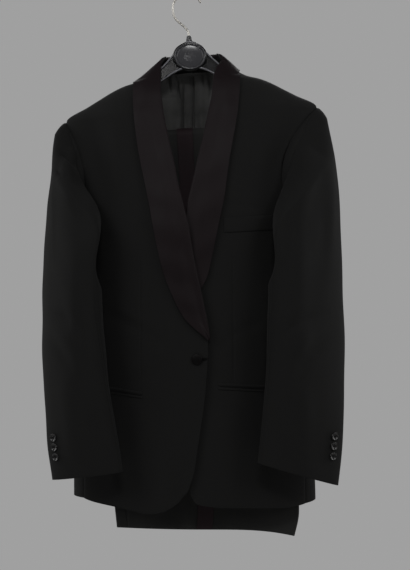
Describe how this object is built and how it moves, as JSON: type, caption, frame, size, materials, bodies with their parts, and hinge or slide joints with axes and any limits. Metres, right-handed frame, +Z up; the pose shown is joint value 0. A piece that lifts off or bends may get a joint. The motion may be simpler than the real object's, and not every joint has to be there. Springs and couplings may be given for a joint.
{
  "type": "tuxedo, a dinner jacket with its trousers, on a moulded hanger",
  "caption": "Black dinner suit on a moulded hanger: satin shawl-collar jacket closed on one button, trousers folded over the bar.",
  "frame": {"origin": "inner crown of the hook, where a rail or wall hook carries the hanger", "axes": "+Z up, +X towards the wearer's left (the right-hand side as seen from the front), -Y towards the front"},
  "size_m": [0.527, 0.2182, 0.9636],
  "materials": {
    "jacket_wool": "fine black wool with a dry, even nap",
    "trouser_wool": "the same black wool, pressed with a crease",
    "satin": "black satin with a soft sheen",
    "lining": "black twill lining with a bright sheen along its folds",
    "front_button": "button covered in black satin",
    "cuff_buttons": "polished black, with a raised rim",
    "hanger_plastic": "moulded black polystyrene, satin gloss",
    "hook_wire": "bright plated steel wire"
  },
  "bodies": {
    "root": {"back_left": "jacket_wool", "back_lining": "lining", "back_right": "jacket_wool", "chest_welt": "jacket_wool", "collar_stand": "jacket_wool", "cuff_button_left_1": "cuff_buttons", "cuff_button_left_2": "cuff_buttons", "cuff_button_left_3": "cuff_buttons", "cuff_button_right_1": "cuff_buttons", "cuff_button_right_2": "cuff_buttons", "cuff_button_right_3": "cuff_buttons", "front_button": "front_button", "front_left": "jacket_wool", "front_right": "jacket_wool", "hanger": "hanger_plastic", "hanger_disc_back": "hanger_plastic", "hanger_disc_front": "hanger_plastic", "hip_pocket_left": "jacket_wool", "hip_pocket_right": "jacket_wool", "hook": "hook_wire", "hook_ferrule": "hanger_plastic", "leg_back_L": "trouser_wool", "leg_back_R": "trouser_wool", "leg_front_L": "trouser_wool", "leg_front_R": "trouser_wool", "shawl_left": "satin", "shawl_right": "satin", "side_left": "jacket_wool", "side_right": "jacket_wool", "stripe_L": "satin", "stripe_R": "satin", "top_sleeve_left": "jacket_wool", "top_sleeve_right": "jacket_wool", "trouser_bar": "hanger_plastic", "under_sleeve_left": "jacket_wool", "under_sleeve_right": "jacket_wool", "waistband_L": "trouser_wool", "waistband_R": "trouser_wool"}
  },
  "joints": []
}
